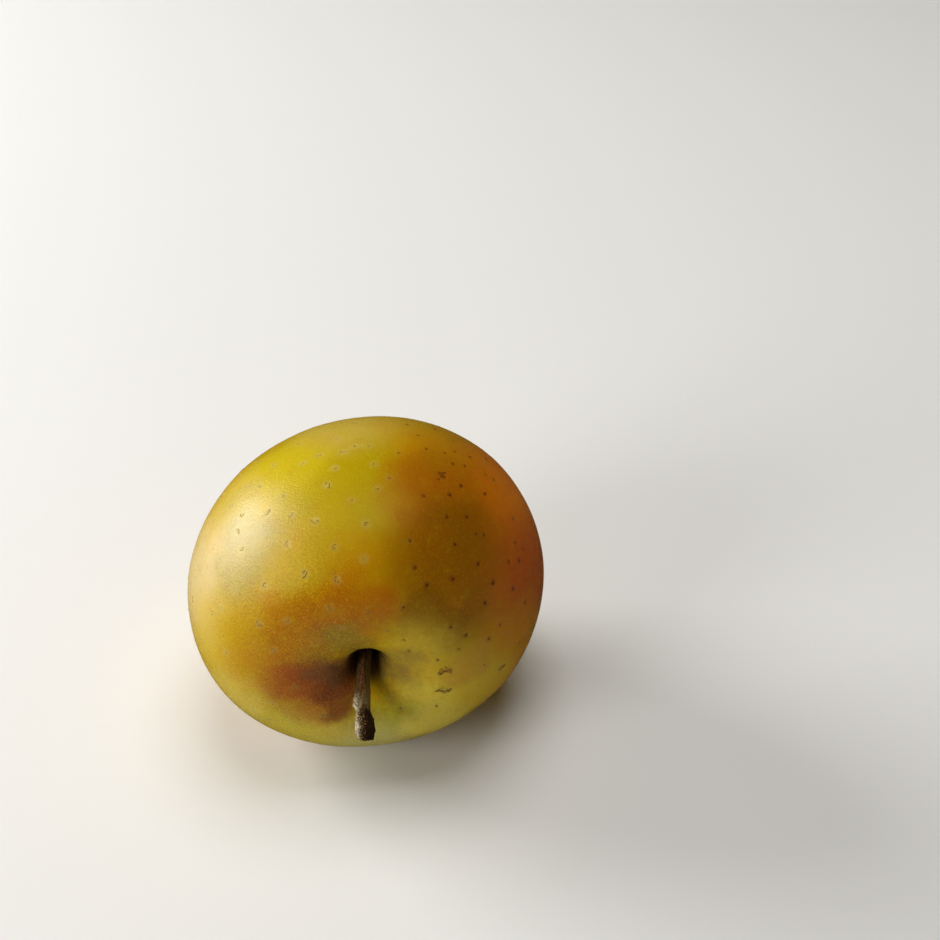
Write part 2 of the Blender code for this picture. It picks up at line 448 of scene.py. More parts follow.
def finish_mesh(mesh):
    """Turns every face outwards and shades the mesh smooth."""
    shape = bmesh.new()
    shape.from_mesh(mesh)
    bmesh.ops.recalc_face_normals(shape, faces=shape.faces)
    shape.to_mesh(mesh)
    shape.free()
    mesh.shade_smooth()


def make_profile_curve():
    """Half the fruit's outline as a curve in the XZ plane, in millimetres."""
    data = bpy.data.curves.new("fruit_outline", "CURVE")
    data.dimensions = "3D"
    points = smooth_curve(FRUIT_PROFILE, PROFILE_STEPS)
    spline = data.splines.new("POLY")
    spline.points.add(len(points) - 1)
    for spline_point, (radius, height) in zip(spline.points, points):
        spline_point.co = (radius, 0, height, 1)
    return link("fruit_outline", data)


def fruit_tree(material):
    """Turns an outline about the growth axis, makes it uneven, lays it down and flattens its foot."""
    tree, source, close = new_geometry_tree("grow_fruit", FRUIT_SHAPE, material)
    counts = {"Vertices X": FACES_AROUND + 1, "Vertices Y": FACES_ALONG + 1}
    grid = tree.add("GeometryNodeMeshGrid", None, {"Size X": 1.0, "Size Y": 1.0, **counts})
    across, along, _ = tree.separated(tree.add("GeometryNodeInputPosition"))
    angle = (across + 0.5) * tau

    # The turned shape: where the outline is at this height, and how far out of round it grew there
    sampled = tree.add(
        "GeometryNodeSampleCurve", {"mode": "FACTOR", "use_all_curves": False},
        {"Curves": source.other("Geometry"), "Factor": along + 0.5}, "Position",
    )
    radius, _, height = tree.separated(sampled)
    share = (radius / source.other("Girth radius")) ** 2
    swelling = 0
    for count in range(1, LOBES + 1):
        towards = source.other(f"Lobe {count} towards") * radians(1)
        swelling = swelling + source.other(f"Lobe {count}") * ((angle - towards) * count).cosine()
    stretched = radius * (1 + share * swelling)
    shift_angle = angle - source.other("Shift towards") * radians(1)
    shift = source.other("Shift") * share * shift_angle.cosine()
    crown_place = (radius - source.other("Crown radius")) / source.other("Crown spread")
    crown_fade = (0 - crown_place * crown_place).maths("EXPONENT")
    crown_angle = (angle - source.other("Crown towards") * radians(1)) * CROWNS
    above = height.maths("GREATER_THAN", 0.0)
    crown_size = above * source.other("Crown at stem") - (1 - above) * source.other("Crown at calyx")
    crown = crown_size * crown_fade * crown_angle.cosine()
    grown = tree.combined(stretched * angle.cosine(), stretched * angle.sine(), height + shift + crown)
    turned = tree.add("GeometryNodeSetPosition", None, {"Geometry": grid, "Position": grown})
    closed = tree.add("GeometryNodeMergeByDistance", None, {"Geometry": turned, "Distance": POLE_MERGE})

    # Slow swells and a fine pebbling, so that no highlight is the clean one of a turned ball
    place = tree.add("GeometryNodeInputPosition")
    normal = tree.add("GeometryNodeInputNormal")
    swell = (tree.noise(place, SWELL_SCALE, 1.0) - 0.5) * 2 * source.other("Unevenness")
    pebble = (tree.noise(place, PEBBLE_SCALE, 2.0) - 0.5) * 2 * source.other("Pebbling")
    offset = tree.scaled(normal, swell + pebble)
    uneven = tree.add("GeometryNodeSetPosition", None, {"Geometry": closed, "Offset": offset})

    placing = {"Translation": FRUIT_CENTRE, "Rotation": GROWTH_ROTATION, "Scale": (MM,) * 3}
    laid = tree.add("GeometryNodeTransform", None, {"Geometry": uneven, **placing})
    x, y, z = tree.separated(tree.add("GeometryNodeInputPosition"))
    rested = tree.combined(x, y, z.at_least(0.0))
    close(tree.add("GeometryNodeSetPosition", None, {"Geometry": laid, "Position": rested}))
    return tree


def make_fruit(material):
    outline = make_profile_curve()
    fruit = run_geometry_tree(outline, fruit_tree(material), FRUIT_SHAPE, "fruit_skin")
    discard(outline)
    finish_mesh(fruit.data)
    return fruit


def surface_of(piece):
    """A tree of the piece's faces, for finding points on its surface."""
    shape = bmesh.new()
    shape.from_mesh(piece.data)
    surface = BVHTree.FromBMesh(shape)
    shape.free()
    return surface


def dot_places(camera, surface):
    """Where each corky dot sits: its point, its outward direction, its radius and how well it shows."""
    places = []
    for x, y, radius in DOTS_SEEN:
        point, normal, _, _ = surface.ray_cast(camera.location, sight_line(camera, x, y))
        places.append((point, normal, radius, 1.0))

    random = np.random.default_rng(DOT_SEED)
    to_world = growth_matrix()
    for _ in range(DOT_TRIES):
        direction = Vector(random.normal(size=3)).normalized()
        polar = direction.angle(Vector((0, 0, 1)))
        radius = random.uniform(*DOT_RADII) * random.uniform(*DOT_SHRINKING)
        if not radians(DOT_POLAR_RANGE[0]) < polar < radians(DOT_POLAR_RANGE[1]):
            continue
        outward = to_world.to_3x3() @ direction
        point, normal, _, _ = surface.ray_cast(FRUIT_CENTRE, outward)
        if point.z < DOT_CLEARANCE:
            continue
        gap = DOT_GAP_NEAR_STEM + (DOT_GAP_NEAR_CALYX - DOT_GAP_NEAR_STEM) * polar / pi
        if all((point - other[0]).length > gap * MM for other in places):
            places.append((point, normal, radius, random.uniform(*DOT_BOLDNESS)))
    return places


def dot_cloud(places):
    """The dots' places as a mesh of loose points that carry what each dot needs to know."""
    mesh = bpy.data.meshes.new("dot_cloud")
    mesh.from_pydata([point for point, _, _, _ in places], [], [])
    facing = mesh.attributes.new("facing", "FLOAT_VECTOR", "POINT")
    facing.data.foreach_set("vector", np.array([normal[:] for _, normal, _, _ in places]).ravel())
    radius = mesh.attributes.new("dot_radius", "FLOAT", "POINT")
    radius.data.foreach_set("value", [size * MM for _, _, size, _ in places])
    strength = mesh.attributes.new("strength", "FLOAT", "POINT")
    strength.data.foreach_set("value", [shown for _, _, _, shown in places])
    shaded = mesh.attributes.new("shaded", "FLOAT", "POINT")
    shaded.data.foreach_set("value", [float(point.x < SUNNY_FROM) for point, _, _, _ in places])
    return link("dot_cloud", mesh)


def named(tree, name, kind="FLOAT"):
    return tree.add("GeometryNodeInputNamedAttribute", {"data_type": kind}, {"Name": name})


def random_number(tree, low, high, seed):
    """A random number for each dot."""
    limits = {"Min": low, "Max": high, "Seed": seed}
    return tree.add("FunctionNodeRandomValue", {"data_type": "FLOAT"}, limits, 1)


DOT_SHAPE = {"Seed": 3.0, "Height": 0.07, "Sunk": 0.02, "Raggedness": 0.30}

# A crescent's two arcs as (radius, start, sweep) and their thickness, in shares of the dot's radius
CRESCENT_ARCS = ((1.30, 0.0, 2.3), (1.05, 3.1, 1.3))
CRESCENT_THICKNESS = 0.26
CRESCENT_RISE = 0.4
CRESCENT_STRETCH = (1, 1, 1.5)
DAB_RADII = {"Radius Top": 0.25, "Radius Bottom": 0.8}
DAB_FACES = {"Vertices": 14, "Side Segments": 3}
DOT_LENGTH = 1.2
DOT_WIDTHS = (0.35, 0.85)
SPIN_SEED = 5
WIDTH_SEED = 9
RAGGED_SCALE = 1.9


def dot_dab(tree):
    """A low blunt cone of cork."""
    sizes = {"Depth": 1.0, **DAB_FACES, **DAB_RADII}
    return tree.add("GeometryNodeMeshCone", {"fill_type": "NGON"}, sizes)


def dot_crescent(tree):
    """Two bent rods of cork that together make a broken ring."""
    both_arcs = tree.add("GeometryNodeJoinGeometry")
    circle = {"Resolution": 5, "Radius": CRESCENT_THICKNESS}
    section = tree.add("GeometryNodeCurvePrimitiveCircle", {"mode": "RADIUS"}, circle)
    for radius, start, sweep in CRESCENT_ARCS:
        sizes = {"Resolution": 7, "Radius": radius, "Start Angle": start, "Sweep Angle": sweep}
        arc = tree.add("GeometryNodeCurveArc", {"mode": "RADIUS"}, sizes)
        tube = {"Curve": arc, "Profile Curve": section, "Fill Caps": True}
        bent = tree.add("GeometryNodeCurveToMesh", None, tube)
        tree.tree.links.new(bent.socket, both_arcs.socket.node.inputs[0])
    placing = {"Translation": (0, 0, CRESCENT_RISE), "Scale": CRESCENT_STRETCH}
    return tree.add("GeometryNodeTransform", None, {"Geometry": both_arcs, **placing})


def dot_tree(material):
    """Sets cork on every point of the cloud: a ragged crescent on the shaded side, a dab elsewhere."""
    tree, source, close = new_geometry_tree("scatter_dots", DOT_SHAPE, material)
    dab = dot_dab(tree)
    crescent = dot_crescent(tree)

    facing = named(tree, "facing", "FLOAT_VECTOR")
    upright = tree.add("FunctionNodeAlignRotationToVector", {"axis": "Z"}, {"Vector": facing})
    spin = {"Axis": (0, 0, 1), "Angle": random_number(tree, 0.0, tau, SPIN_SEED)}
    about_own_axis = tree.add("FunctionNodeAxisAngleToRotation", None, spin)
    turns = {"Rotation": upright, "Rotate By": about_own_axis}
    rotation = tree.add("FunctionNodeRotateRotation", {"rotation_space": "LOCAL"}, turns)
    size = named(tree, "dot_radius")
    width = random_number(tree, *DOT_WIDTHS, WIDTH_SEED)
    scale = tree.combined(size * DOT_LENGTH, size * width, source.other("Height") * MM)
    inwards = {"Offset": tree.scaled(facing, source.other("Sunk") * -MM)}
    points = {"Geometry": source.other("Geometry"), **inwards}
    sunk = tree.add("GeometryNodeSetPosition", None, points)
    shaded = named(tree, "shaded")
    joined = tree.add("GeometryNodeJoinGeometry")
    for instance, chosen in ((crescent, shaded), (dab, 1 - shaded)):
        placed = {"Points": sunk, "Selection": chosen, "Instance": instance}
        placed.update({"Rotation": rotation, "Scale": scale})
        instances = tree.add("GeometryNodeInstanceOnPoints", None, placed)
        tree.tree.links.new(instances.socket, joined.socket.node.inputs[0])
    realized = tree.add("GeometryNodeRealizeInstances", None, {"Geometry": joined})

    # Each corner is pushed its own way, by a noise much finer than the distance from dot to dot
    place = tree.scaled(tree.add("GeometryNodeInputPosition"), 1 / MM)
    seeded = tree.vector("ADD", place, tree.combined(source.other("Seed"), 0.0, 0.0))
    colour = tree.noise(seeded, RAGGED_SCALE, 1.0).other("Color")
    push = tree.vector("SUBTRACT", colour, (0.5, 0.5, 0.5))
    along_skin = tree.vector("SUBTRACT", push, tree.scaled(facing, tree.dot(push, facing)))
    ragged = tree.scaled(along_skin, source.other("Raggedness") * MM)
    close(tree.add("GeometryNodeSetPosition", None, {"Geometry": realized, "Offset": ragged}))
    return tree


def make_dots(places, material):
    cloud = dot_cloud(places)
    dots = run_geometry_tree(cloud, dot_tree(material), DOT_SHAPE, "skin_dots")
    discard(cloud)
    finish_mesh(dots.data)
    return dots


def store_nearest_dots(fruit, places):
    """Tells every point of the skin the way to its nearest dot, its distance, radius and boldness."""
    finder = KDTree(len(places))
    for i, (point, _, _, _) in enumerate(places):
        finder.insert(point, i)
    finder.balance()
    offsets, distances, radii, strengths = [], [], [], []
    for vertex in fruit.data.vertices:
        point, i, distance = finder.find(vertex.co)
        offsets.extend((vertex.co - point) / MM)
        distances.append(distance / MM)
        radii.append(places[i][2])
        strengths.append(places[i][3])
    attributes = fruit.data.attributes
    attributes.new("dot_offset", "FLOAT_VECTOR", "POINT").data.foreach_set("vector", offsets)
    attributes.new("dot_distance", "FLOAT", "POINT").data.foreach_set("value", distances)
    attributes.new("dot_radius", "FLOAT", "POINT").data.foreach_set("value", radii)
    attributes.new("dot_strength", "FLOAT", "POINT").data.foreach_set("value", strengths)


# How far the patches' edges wander, as a share of the fruit's radius, and the dots' in millimetres,
# each with its noise as (scale, detail, roughness)
PATCH_DRIFT = 0.09
PATCH_NOISE = (3.2, 3.0, 0.55)
DOT_WOBBLE = 0.62
DOT_NOISE = (2.8, 2.0, 0.6)

# The way to the nearest dot is blended from corner to corner of a face, and comes out too short where
# two dots are as near. The blended distance, less this much, is the least that is taken.
DOT_SLACK = 0.35


class Skin:
    """The skin's colour, laid on layer by layer over the directions in which the fruit grew."""

    def __init__(self, tree):
        self.tree = tree
        self.place = growth_place(tree)
        self.direction = tree.vector("NORMALIZE", self.place)
        x, y, z = tree.separated(self.place)
        self.side = tree.separated(self.direction)[0]
        self.polar = ((x * x + y * y) ** 0.5).maths("ARCTAN2", z)
        self.around = tree.vector("NORMALIZE", tree.combined(x, y, 0.0))
        drift = tree.noise(self.direction, *PATCH_NOISE).other("Color")
        centred = tree.vector("SUBTRACT", drift, (0.5,) * 3)
        self.wandering = tree.vector("ADD", self.direction, tree.scaled(centred, PATCH_DRIFT))
        self.colour = None

    def noise(self, scale, detail, roughness, distortion=0.0):
        return self.tree.noise(self.place, scale, detail, roughness, distortion)

    def streaks(self, around_scale, along_scale):
        """Noise drawn out along the lines that run from the stem to the calyx."""
        along = self.tree.combined(0.0, 0.0, self.polar * along_scale)
        vector = self.tree.vector("ADD", self.tree.scaled(self.around, around_scale), along)
        return self.tree.noise(vector, 1.0, 3.0, 0.6)

    def polar_ramp(self, low, high):
        """0 at the low angle from the stem end and 1 at the high one; low may be the larger."""
        return self.polar.ramp(radians(low), radians(high))

    def patch(self, turn, polar, inner, outer):
        """1 within the inner angle of a place on the skin, fading to 0 at the outer angle."""
        turn, polar = radians(turn), radians(polar)
        towards = (cos(turn) * sin(polar), sin(turn) * sin(polar), cos(polar))
        return self.tree.dot(self.wandering, towards).ramp(cos(radians(outer)), cos(radians(inner)))

    def lay(self, share, colour):
        self.colour = self.tree.mix(share, self.colour, colour)

    def told(self, name, output="Fac"):
        """What store_nearest_dots left on the skin under this name."""
        return self.tree.add("ShaderNodeAttribute", {"attribute_name": name}, None, output)

    def dot_distance(self):
        """How far the nearest dot is in millimetres, with the wobble that makes its outline ragged."""
        offset = self.told("dot_offset", "Vector")
        length = self.tree.add("ShaderNodeVectorMath", {"operation": "LENGTH"}, {0: offset}, "Value")
        wobble = (self.noise(*DOT_NOISE) - 0.5) * DOT_WOBBLE
        return length.at_least(self.told("dot_distance") - DOT_SLACK) + wobble


LIME_GOLD = srgb(188, 157, 4)
GOLD = srgb(196, 149, 2)

# Patches of colour: (colour, turn about the growth axis, angle from the stem end, the angle that the
# full colour reaches, the angle where it is gone, strength). Most are the skin's own colour; those
# marked below are painted highlight, painted reflection or painted shade.
SKIN_PATCHES = [
    (srgb(180, 158, 6), 104, 90, 4, 46, 0.80),
    # Painted reflection: a pale sheen along the top rim
    (srgb(206, 178, 74), 93, 113, 3, 27, 0.70),
    (srgb(198, 132, 2), 88, 43, 2, 19, 0.75),
    (srgb(194, 160, 10), 101, 56, 1, 14, 0.50),
    (srgb(204, 168, 4), 130, 42, 2, 24, 0.70),
    (srgb(199, 142, 2), 150, 44, 2, 18, 0.70),
    (srgb(192, 110, 0), 145, 30, 0, 24, 0.80),
    (srgb(203, 108, 0), 41, 78, 23, 45, 0.95),
    (srgb(202, 150, 4), 62, 106, 3, 26, 0.60),
    (srgb(160, 98, 2), 66, 74, 2, 22, 0.50),
    (srgb(147, 90, 0), 53, 54, 2, 28, 0.90),
    (srgb(152, 96, 2), 32, 40, 1, 18, 0.55),
    (srgb(236, 128, 0), 34, 94, 3, 24, 0.75),
    (srgb(190, 77, 0), 14, 74, 4, 28, 0.80),
    (srgb(212, 136, 0), -8, 54, 3, 26, 0.80),
    (srgb(188, 82, 0), 101, 33, 0, 18, 0.55),
    (srgb(178, 93, 0), 92, 28, 3, 17, 0.70),
    (srgb(128, 84, 0), 41, 32, 2, 16, 0.84),
    (srgb(142, 102, 28), 23, 31, 1, 11, 0.68),
    # Painted reflection: pale patches on the left flank in place of the floor's sheen
    (srgb(220, 199, 142), 160, 76, 3, 28, 0.85),
    (srgb(196, 170, 64), -165, 60, 2, 26, 0.60),
    (srgb(216, 184, 56), 172, 60, 2, 18, 0.55),
    (srgb(198, 166, 8), 153, 52, 1, 17, 0.60),
    (srgb(212, 190, 22), 120, 90, 4, 24, 0.55),
    # Painted highlight: paler, bluer skin where the window's highlight falls, with darker olive under
    # it
    (srgb(216, 190, 84), 142, 92, 2, 20, 0.50),
    (srgb(190, 168, 84), 134, 82, 1, 15, 0.55),
    (srgb(147, 134, 30), 136, 64, 2, 18, 0.68),
    (srgb(206, 176, 40), 28, 22, 2, 19, 0.80),
    (srgb(218, 188, 48), -22, 38, 3, 26, 0.85),
    (srgb(224, 200, 62), -38, 25, 1, 16, 0.80),
    (srgb(198, 146, 42), 2, 36, 1, 11, 0.60),
    (srgb(152, 150, 8), -76, 23, 1, 14, 0.85),
    (srgb(182, 103, 8), -58, 15, 1, 7, 0.60),
    (srgb(190, 186, 110), -92, 44, 4, 28, 0.85),
    (srgb(207, 196, 80), -138, 40, 2, 22, 0.75),
    (srgb(222, 196, 84), -166, 46, 2, 15, 0.74),
    (srgb(224, 206, 84), -50, 38, 2, 16, 0.75),
    (srgb(154, 127, 34), 104, 19, 0, 13, 0.80),
    (srgb(146, 118, 44), 130, 18, 0, 16, 0.50),
    # Painted shade: dark grey-brown on the cavity's left wall
    (srgb(112, 84, 44), 172, 15, 0, 15, 0.60),
    (srgb(204, 144, 20), 176, 42, 1, 14, 0.50),
    # Painted shadow: the stem's shadow on the cavity's right wall
    (srgb(124, 102, 52), 2, 10, 0, 15, 0.75),
]
FADED = srgb(198, 170, 6)
FADED_GREEN = srgb(208, 192, 40)
RIPE = srgb(176, 104, 0)
PALE_FLECK = srgb(226, 190, 8)
DARK_FLECK = srgb(120, 66, 0)
BLUSH = srgb(168, 74, 22)
# Darker red-brown: partly the blush itself, partly painted shade beside the cavity
DARK_BLUSH_AND_SHADE = srgb(122, 62, 18)
BLUSH_FLECK = srgb(214, 140, 66)
BLUSH_GRAIN = srgb(92, 44, 10)
# Painted shade in and round the cavity: grey-brown on its left wall, darker by the stem and in it
CAVITY_WALL_SHADE = srgb(114, 92, 54)
CAVITY_SHADE = srgb(88, 64, 34)
BASIN_GREEN = srgb(150, 142, 40)
BASIN_RUSSET = srgb(140, 92, 34)
HALO_PALE = srgb(208, 184, 92)
CORK_GREEN = srgb(140, 116, 44)
CORK_BROWN = srgb(104, 50, 2)

# Noises on the skin, as (scale per millimetre, detail, roughness), with a distortion for the tangle
MOTTLE = (0.30, 4.0, 0.6)
BLOTCHES = (0.42, 4.0, 0.65)
TANGLE = (1.25, 3.0, 0.7, 0.7)
GRAIN = (3.4, 3.0, 0.75)
PORES = (2.8, 3.0, 0.62)

# Streaks, as their scales around the fruit and along it
FINE_STREAKS = (70.0, 2.4)
BROAD_STREAKS = (20.0, 1.2)

# Blush, a darker blush that is partly painted shade beside the cavity, and painted shade and shadow
# round the stem, as places and angles like those of the patches
BLUSH_PATCH = (-165, 21, 2, 20)
DARK_BLUSH_AND_SHADE_PATCH = (-139, 15, 5, 14)
CAVITY_WALL_SHADE_PATCH = (166, 13, 0, 12)
CAVITY_SHADE_LEFT = (147, 13, 0, 7)
CAVITY_SHADE_RIGHT = (-46, 11, 1, 6)

# How much of each layer shows, at most. Where there are several, the first holds all over, and the
# others are added on the weathered side and by the cavity, or for cork and pits in the sun.
BLOTCH_SHARE = 0.15
TANGLE_SHARE = 0.05
GREEN_TANGLE_SHARE = 0.38
RIPE_TANGLE_SHARE = 0.32
DARK_FLECK_SHARES = (0.06, 0.40)
PALE_FLECK_SHARES = (0.17, 0.42)
STREAK_SHARES = (0.03, 0.05, 0.20)
DARK_BLUSH_AND_SHADE_SHARE = 0.90
BLUSH_FLECK_SHARE = 0.50
BLUSH_STREAK_SHARE = 0.30
BLUSH_GRAIN_SHARE = 0.65
CAVITY_WALL_SHADE_SHARE = 0.50
CAVITY_RIM_SHARE = 0.60
CAVITY_LIP_SHARE = 0.50
CAVITY_FLOOR_SHARE = 0.85
BASIN_GREEN_SHARE = 0.7
BASIN_RUSSET_SHARE = 0.6
HALO_SHARE = 0.36
CORK_SHARES = (0.15, 0.60)

# The skin's fine relief in millimetres, how deep a dot sits in it, and its gloss
RELIEF_DEPTH = 0.070
PIT_DEPTHS = (0.25, 0.65)
SKIN_ROUGHNESS = 0.21
SKIN_IOR = 1.44


def lay_ground(skin, mottle):
    """The gold ground and its wide soft patches: mostly what the sun and the leaves' shade left on it,
    with some painted highlight, painted reflection and painted shade.
    """
    skin.colour = skin.tree.mix(mottle.ramp(0.30, 0.72), LIME_GOLD, GOLD)
    for colour, turn, polar, inner, outer, strength in SKIN_PATCHES:
        skin.lay(skin.patch(turn, polar, inner, outer) * strength, colour)


def lay_blotches(skin, near_cavity):
    """Soft blotches all over, which break up into small ones round the cavity."""
    blotches = skin.noise(*BLOTCHES)
    skin.lay(blotches.ramp(0.50, 0.72) * BLOTCH_SHARE, FADED)
    skin.lay(blotches.ramp(0.50, 0.30) * BLOTCH_SHARE, RIPE)
    tangle = skin.noise(*TANGLE)
    skin.lay(tangle.ramp(0.50, 0.68) * TANGLE_SHARE, FADED)
    skin.lay(tangle.ramp(0.50, 0.68) * GREEN_TANGLE_SHARE * near_cavity, FADED_GREEN)
    skin.lay(tangle.ramp(0.48, 0.32) * (TANGLE_SHARE + RIPE_TANGLE_SHARE * near_cavity), RIPE)


def lay_flecks(skin, grain, fleck, fine_streaks, near_cavity):
    """Fine flecks and faint streaks, a little all over and more on the weathered lower left.

    The streaks are at their strongest round the cavity.
    """
    weathered = skin.side.ramp(0.15, -0.35) * skin.polar_ramp(75, 40)
    everywhere, where_weathered = DARK_FLECK_SHARES
    skin.lay(grain.ramp(0.50, 0.32) * (everywhere + where_weathered * weathered), DARK_FLECK)
    everywhere, where_weathered = PALE_FLECK_SHARES
    skin.lay(fleck * (everywhere + where_weathered * weathered), PALE_FLECK)
    everywhere, where_weathered, by_cavity = STREAK_SHARES
    streak_share = everywhere + where_weathered * weathered + by_cavity * near_cavity
    skin.lay(fine_streaks.ramp(0.50, 0.78) * streak_share, PALE_FLECK)


def lay_blush(skin, grain, fleck, fine_streaks):
    """The dull red blush to the left of the stem, drawn out in streaks at its edges, and darkened
    beside the cavity by painted shade.
    """
    drawn_out = (0.86 + 0.6 * (skin.streaks(*BROAD_STREAKS) - 0.5)).at_least(0.0).at_most(1.0)
    blushing = skin.patch(*BLUSH_PATCH) * drawn_out
    skin.lay(blushing, BLUSH)
    # A darker blush beside the cavity, partly painted shade
    skin.lay(skin.patch(*DARK_BLUSH_AND_SHADE_PATCH) * DARK_BLUSH_AND_SHADE_SHARE, DARK_BLUSH_AND_SHADE)
    streak = fine_streaks.ramp(0.50, 0.75)
    skin.lay(blushing * (fleck * BLUSH_FLECK_SHARE + streak * BLUSH_STREAK_SHARE), BLUSH_FLECK)
    skin.lay(blushing * grain.ramp(0.50, 0.30) * BLUSH_GRAIN_SHARE, BLUSH_GRAIN)


def lay_cavity_and_basin(skin, fine_streaks):
    """Painted shade round the cavity: grey-brown on its left wall, darker beside the stem, the stem's
    painted shadow on the right wall, darkest down in it; green and some russet in the basin.
    """
    skin.lay(skin.patch(*CAVITY_WALL_SHADE_PATCH) * CAVITY_WALL_SHADE_SHARE, CAVITY_WALL_SHADE)
    # Painted shade left of the stem, the stem's painted shadow right of it, painted shade down in the
    # cavity
    skin.lay(skin.patch(*CAVITY_SHADE_LEFT) * CAVITY_LIP_SHARE, CAVITY_SHADE)
    skin.lay(skin.patch(*CAVITY_SHADE_RIGHT) * CAVITY_RIM_SHARE, CAVITY_SHADE)
    skin.lay(skin.polar_ramp(12, 7) * CAVITY_FLOOR_SHARE, CAVITY_SHADE)
    in_basin = skin.polar_ramp(146, 164)
    skin.lay(in_basin * BASIN_GREEN_SHARE, BASIN_GREEN)
    skin.lay(in_basin * fine_streaks.ramp(0.5, 0.7) * BASIN_RUSSET_SHARE, BASIN_RUSSET)


def lay_dots(skin):
    """Corky dots: grey green in a pale ring where the skin is light, plain brown on the sunny side.

    Gives back how much of the skin is a dot's cork and how deep it lies in the dot's pit.
    """
    radius, strength = skin.told("dot_radius"), skin.told("dot_strength")
    distance = skin.dot_distance()
    sunny = skin.side.ramp(-0.10, 0.35)
    away_from_stem = skin.polar_ramp(28, 50) * 0.75 + 0.25
    halo = distance.ramp(1.30, 0.35) * strength * (1 - sunny) * away_from_stem
    skin.lay(halo * HALO_SHARE, HALO_PALE)
    core = (distance / radius).ramp(1.9, 0.3) * strength
    in_shade, in_sun = CORK_SHARES
    skin.lay(core * (in_shade + in_sun * sunny), skin.tree.mix(sunny, CORK_GREEN, CORK_BROWN))
    in_shade, in_sun = PIT_DEPTHS
    pit = (distance / radius).ramp(2.4, 0.5) * strength * (in_shade + in_sun * sunny)
    return core, pit


def paint_skin(material):
    tree, shader = shading(material)
    skin = Skin(tree)
    mottle = skin.noise(*MOTTLE)
    grain = skin.noise(*GRAIN)
    fleck = grain.ramp(0.50, 0.70)
    fine_streaks = skin.streaks(*FINE_STREAKS)
    near_cavity = skin.polar_ramp(45, 20)
    lay_ground(skin, mottle)
    lay_blotches(skin, near_cavity)
    lay_flecks(skin, grain, fleck, fine_streaks, near_cavity)
    lay_blush(skin, grain, fleck, fine_streaks)
    lay_cavity_and_basin(skin, fine_streaks)
    core, pit = lay_dots(skin)

    height = skin.noise(*PORES) - pit
    relief = relief_from(tree, height, 1.0, RELIEF_DEPTH)
    roughness = SKIN_ROUGHNESS + 0.06 * mottle + 0.05 * fleck + 0.25 * core
    feed(tree, shader, Base_Color=skin.colour, Roughness=roughness, Normal=relief)
    shader.inputs["IOR"].default_value = SKIN_IOR


# The dots' cork as (light, dark), on the shaded side and on the sunny one
CORK_IN_SHADE = (srgb(150, 126, 54), srgb(116, 96, 40))
CORK_IN_SUN = (srgb(128, 70, 8), srgb(96, 48, 4))
CORK_NOISE = (4.0, 3.0, 0.6)


def paint_dots(material):
    tree, shader = shading(material)
    place = growth_place(tree)
    cork = tree.noise(place, *CORK_NOISE)
    sunny = tree.separated(tree.vector("NORMALIZE", place))[0].ramp(-0.25, 0.3)
    light = tree.mix(sunny, CORK_IN_SHADE[0], CORK_IN_SUN[0])
    dark = tree.mix(sunny, CORK_IN_SHADE[1], CORK_IN_SUN[1])
    colour = tree.mix(cork.ramp(0.4, 0.62), dark, light)
    feed(tree, shader, Base_Color=colour, Roughness=0.7 + 0.2 * cork)
    shader.inputs["Specular IOR Level"].default_value = 0.0


def rings_to_mesh(name, rings, to_world):
    """A closed body through rings of points in millimetres, capped at both ends, put in its place."""
    shape = bmesh.new()
    rows = [[shape.verts.new(to_world @ (Vector(point) * MM)) for point in ring] for ring in rings]
    for lower, upper in zip(rows, rows[1:]):
        for side in range(len(lower)):
            shape.faces.new((lower[side - 1], lower[side], upper[side], upper[side - 1]))
    for row in (rows[0], rows[-1]):
        middle = sum((vert.co for vert in row), Vector()) / len(row)
        centre = shape.verts.new(middle)
        for side in range(len(row)):
            shape.faces.new((row[side - 1], row[side], centre))
    bmesh.ops.recalc_face_normals(shape, faces=shape.faces)
    mesh = bpy.data.meshes.new(name)
    shape.to_mesh(mesh)
    shape.free()
    mesh.shade_smooth()
    return mesh


def ringed_piece(name, rings, material):
    mesh = rings_to_mesh(name, rings, growth_matrix())
    mesh.materials.append(material)
    return link(name, mesh)


def stem_ring(knot, along, side_count):
    """One ring of the stem: ridged, with a lifted flap of bark on its left and a ragged broken end."""
    x, y, height, radius = knot
    ring = []
    for side in range(side_count):
        turn = tau * side / side_count
        out = Vector((cos(turn), sin(turn), 0))
        grain = noise.noise((out.x * 2.0, out.y * 2.0, height * 0.30))
        ridge = noise.noise((out.x * 6.0, out.y * 6.0, height * 0.40 + 7))
        bark = noise.noise((out.x * 2.4 + 20, out.y * 2.4, height * 1.1))
        crack = noise.noise((out.x * 8.0, out.y * 8.0 + 30, height * 2.6))
        to_left = max(0.0, cos(turn - radians(FLAP_TURN)))
        flap = to_left**6 * max(0.0, 1 - abs(height - FLAP_HEIGHT) / FLAP_LENGTH) ** 0.5
        weathered = min(max((height - WEATHERED_FROM) / WEATHERED_OVER, 0), 1)
        plates = min(max((bark - 0.08) * 6, 0), 1) * weathered
        grown = radius * (1 + GRAIN_SHARE * grain + RIDGE_SHARE * ridge) + PLATE_RISE * plates
        grown += FLAP_RISE * flap * (1 + crack) + CRACK_RISE * crack * weathered
        ragged = max(along - 1 + RAGGED_SHARE, 0) / RAGGED_SHARE
        spur = max(0.0, cos(turn - radians(SPUR_TURN))) ** 14 * ragged
        grown += SPUR_RISE * spur
        tear = noise.noise((out.x * 2.5, out.y * 2.5, 50))
        lift = ragged * (TEAR_LIFT * tear + CRACK_LIFT * crack) + SPUR_LIFT * spur
        ring.append((x + out.x * grown, y + out.y * grown, height + lift))
    return ring


